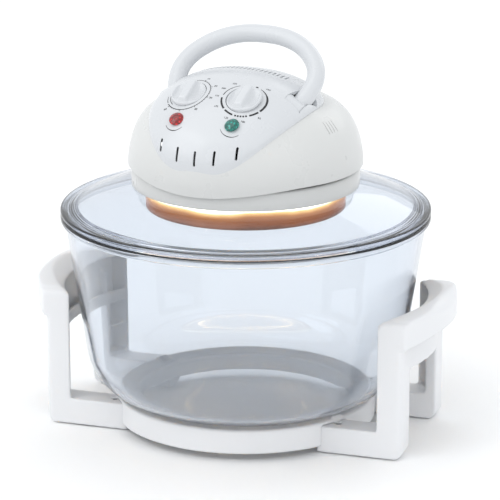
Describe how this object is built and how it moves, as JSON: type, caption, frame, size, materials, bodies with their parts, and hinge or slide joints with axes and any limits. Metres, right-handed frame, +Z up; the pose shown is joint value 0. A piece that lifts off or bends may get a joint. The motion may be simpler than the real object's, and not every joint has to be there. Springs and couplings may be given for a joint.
{
  "type": "halogen oven",
  "caption": "Countertop halogen oven: a glass bowl on a white stand with side handles, and a glass lid that carries the lamp, fan and control head under a folding handle.",
  "frame": {"origin": "on the table, under the middle of the bowl", "axes": "+Z up, -Y towards the user and the control panel, +X to the user's right"},
  "size_m": [0.3828, 0.33, 0.3559],
  "materials": {
    "white_plastic": "glossy moulded",
    "panel_plastic": "glossy moulded",
    "clear_glass": "clear",
    "sheet_steel": "brushed",
    "screw_steel": "plated",
    "black_plastic": "matt",
    "foot_rubber": "matt",
    "quartz": "clear",
    "ceramic": "matt",
    "board": "matt",
    "core_iron": "lacquered",
    "coil_wire": "lacquered copper",
    "bright_alloy": "plain",
    "red_lens": "clear, tinted",
    "green_lens": "clear, tinted",
    "lamp_glass": "clear",
    "plunger_red": "glossy",
    "unit_plastic": "matt"
  },
  "bodies": {
    "stand": {"stand_ring": "white_plastic", "left_side_frame": "white_plastic", "right_side_frame": "white_plastic", "frame_screws": "screw_steel", "rubber_feet": "foot_rubber"},
    "bowl": {"glass_bowl": "clear_glass"},
    "lid": {"glass_lid": "clear_glass", "lid_collar": "white_plastic", "heater_shroud": "sheet_steel", "reflector": "sheet_steel", "insulation_board": "board", "wire_guard": "screw_steel", "guard_screws": "screw_steel", "halogen_tube": "quartz", "tube_holders": "ceramic", "motor_core": "core_iron", "motor_coil": "coil_wire", "motor_bracket": "sheet_steel", "deck_plate": "sheet_steel", "head_housing": "white_plastic", "housing_screws": "screw_steel", "control_cover": "panel_plastic", "handle_brackets": "white_plastic", "timer_unit": "unit_plastic", "thermostat_unit": "unit_plastic", "power_lens": "red_lens", "heat_lens": "green_lens", "indicator_lamps": "lamp_glass", "safety_switch": "black_plastic", "terminal_block": "ceramic", "cord_gland": "white_plastic"},
    "fan": {"convection_fan": "sheet_steel", "cooling_fan": "bright_alloy", "motor_shaft": "screw_steel"},
    "timer": {"timer_knob": "panel_plastic"},
    "thermostat": {"thermostat_knob": "panel_plastic"},
    "handle": {"carry_handle": "white_plastic", "handle_pins": "screw_steel", "handle_cam": "unit_plastic"},
    "plunger": {"switch_plunger": "plunger_red"}
  },
  "joints": [
    {"name": "bowl_lift", "type": "slide", "parent": "stand", "child": "bowl", "axis": [0, 0, 1], "range_m": [0, 0.2]},
    {"name": "lid_lift", "type": "slide", "parent": "bowl", "child": "lid", "axis": [0, 0, 1], "range_m": [0, 0.2]},
    {"name": "fan_spin", "type": "hinge", "parent": "lid", "child": "fan", "pos_m": [0, 0, 0.21], "axis": [0, 0, 1], "continuous": true},
    {"name": "timer_turn", "type": "hinge", "parent": "lid", "child": "timer", "pos_m": [-0.0265, -0.059, 0.31212], "axis": [0, -0.4695, 0.8829], "range_deg": [-300, 0]},
    {"name": "thermostat_turn", "type": "hinge", "parent": "lid", "child": "thermostat", "pos_m": [0.0265, -0.059, 0.31212], "axis": [0, -0.4695, 0.8829], "range_deg": [-135, 135]},
    {"name": "handle_fold", "type": "hinge", "parent": "lid", "child": "handle", "pos_m": [0, -0.028, 0.292], "axis": [1, 0, 0], "range_deg": [0, 50]},
    {"name": "switch_press", "type": "slide", "parent": "lid", "child": "plunger", "axis": [0, 0, 1], "range_m": [0, 0.0022]}
  ],
  "couplings": [
    {"joint": "switch_press", "follows": "handle_fold", "m_per_rad": 0.0024}
  ]
}
